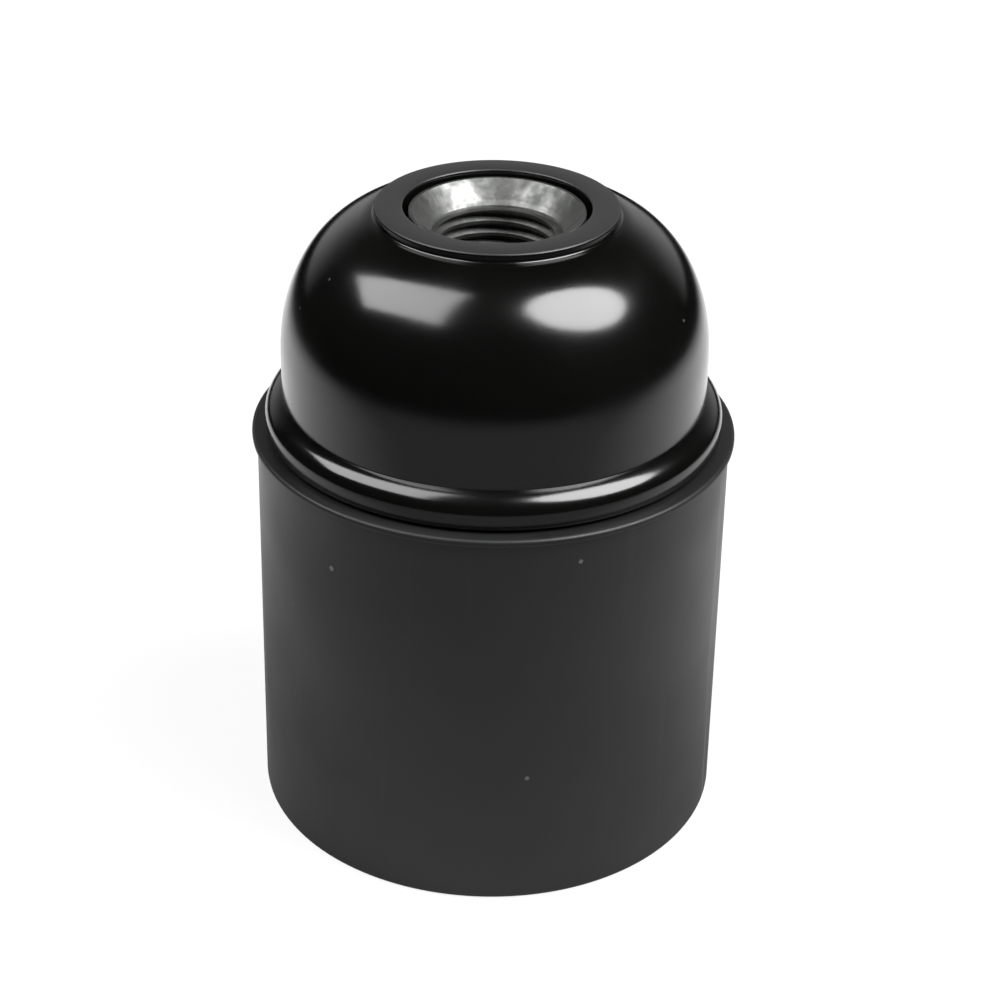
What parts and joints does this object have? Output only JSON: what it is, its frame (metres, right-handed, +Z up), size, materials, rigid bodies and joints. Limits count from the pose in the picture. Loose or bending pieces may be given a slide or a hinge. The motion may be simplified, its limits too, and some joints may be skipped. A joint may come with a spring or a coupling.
{
  "type": "lamp holder",
  "caption": "Black phenolic lamp holder with a domed cap, a plain skirt, a metal threaded entry and an Edison screw mouth.",
  "frame": {"origin": "centre of the mouth's rim, on the surface that the holder stands on", "axes": "+Z up along the holder's axis, from the mouth to the wire entry; +X towards the live terminal"},
  "size_m": [0.0384, 0.0384, 0.0515],
  "materials": {
    "phenolic_gloss": "polished black phenolic moulding",
    "phenolic_matt": "satin black phenolic moulding",
    "zinc_plated": "zinc-plated steel, slightly mottled",
    "brass": "turned and stamped brass",
    "spring_bronze": "rolled spring bronze strip",
    "steatite": "pale unglazed steatite ceramic"
  },
  "bodies": {
    "skirt": {"skirt": "phenolic_matt"},
    "insert": {"contact_carrier": "steatite", "terminal_live": "brass", "terminal_neutral": "brass", "rivet_live": "brass", "rivet_neutral": "brass"},
    "cap": {"dome_cap": "phenolic_gloss", "entry_bush": "zinc_plated", "lock_collar": "zinc_plated", "lock_screw": "zinc_plated"},
    "centre_contact": {"centre_contact": "spring_bronze"},
    "side_contact": {"side_contact": "spring_bronze"},
    "clamp_live": {"clamp_live": "brass"},
    "clamp_neutral": {"clamp_neutral": "brass"},
    "screw_live": {"screw_live": "brass"},
    "screw_neutral": {"screw_neutral": "brass"}
  },
  "joints": [
    {"name": "cap_turn", "type": "hinge", "parent": "skirt", "child": "insert", "pos_m": [0, 0, 0.024], "axis": [0, 0, 1], "range_deg": [0, 720]},
    {"name": "cap_rise", "type": "slide", "parent": "insert", "child": "cap", "axis": [0, 0, 1], "range_m": [0, 0.00501]},
    {"name": "live_clamp_rise", "type": "slide", "parent": "insert", "child": "clamp_live", "axis": [0, 0, 1], "range_m": [0, 0.0024]},
    {"name": "live_screw_turn", "type": "hinge", "parent": "clamp_live", "child": "screw_live", "pos_m": [0.0068, -0.0026, 0.0314], "axis": [0, 0, 1], "range_deg": [0, 1441]},
    {"name": "neutral_clamp_rise", "type": "slide", "parent": "insert", "child": "clamp_neutral", "axis": [0, 0, 1], "range_m": [0, 0.0024]},
    {"name": "neutral_screw_turn", "type": "hinge", "parent": "clamp_neutral", "child": "screw_neutral", "pos_m": [-0.0068, 0.0026, 0.0314], "axis": [0, 0, 1], "range_deg": [0, 1441]},
    {"name": "centre_contact_press", "type": "hinge", "parent": "insert", "child": "centre_contact", "pos_m": [0.0045, 0.0024, 0.02498], "axis": [-0.468, 0.8837, 0], "range_deg": [0, 12], "stiffness_Nm_per_rad": 0.05, "deforming": ["centre_contact"]},
    {"name": "side_contact_press", "type": "hinge", "parent": "insert", "child": "side_contact", "pos_m": [-0.0091, -0.0048, 0.02498], "axis": [-0.468, 0.8837, 0], "range_deg": [0, 5], "stiffness_Nm_per_rad": 0.05, "deforming": ["side_contact"]}
  ],
  "couplings": [
    {"joint": "cap_rise", "follows": "cap_turn", "m_per_rad": 0.00039789},
    {"joint": "live_screw_turn", "follows": "live_clamp_rise", "rad_per_m": 10472},
    {"joint": "neutral_screw_turn", "follows": "neutral_clamp_rise", "rad_per_m": 10472}
  ]
}
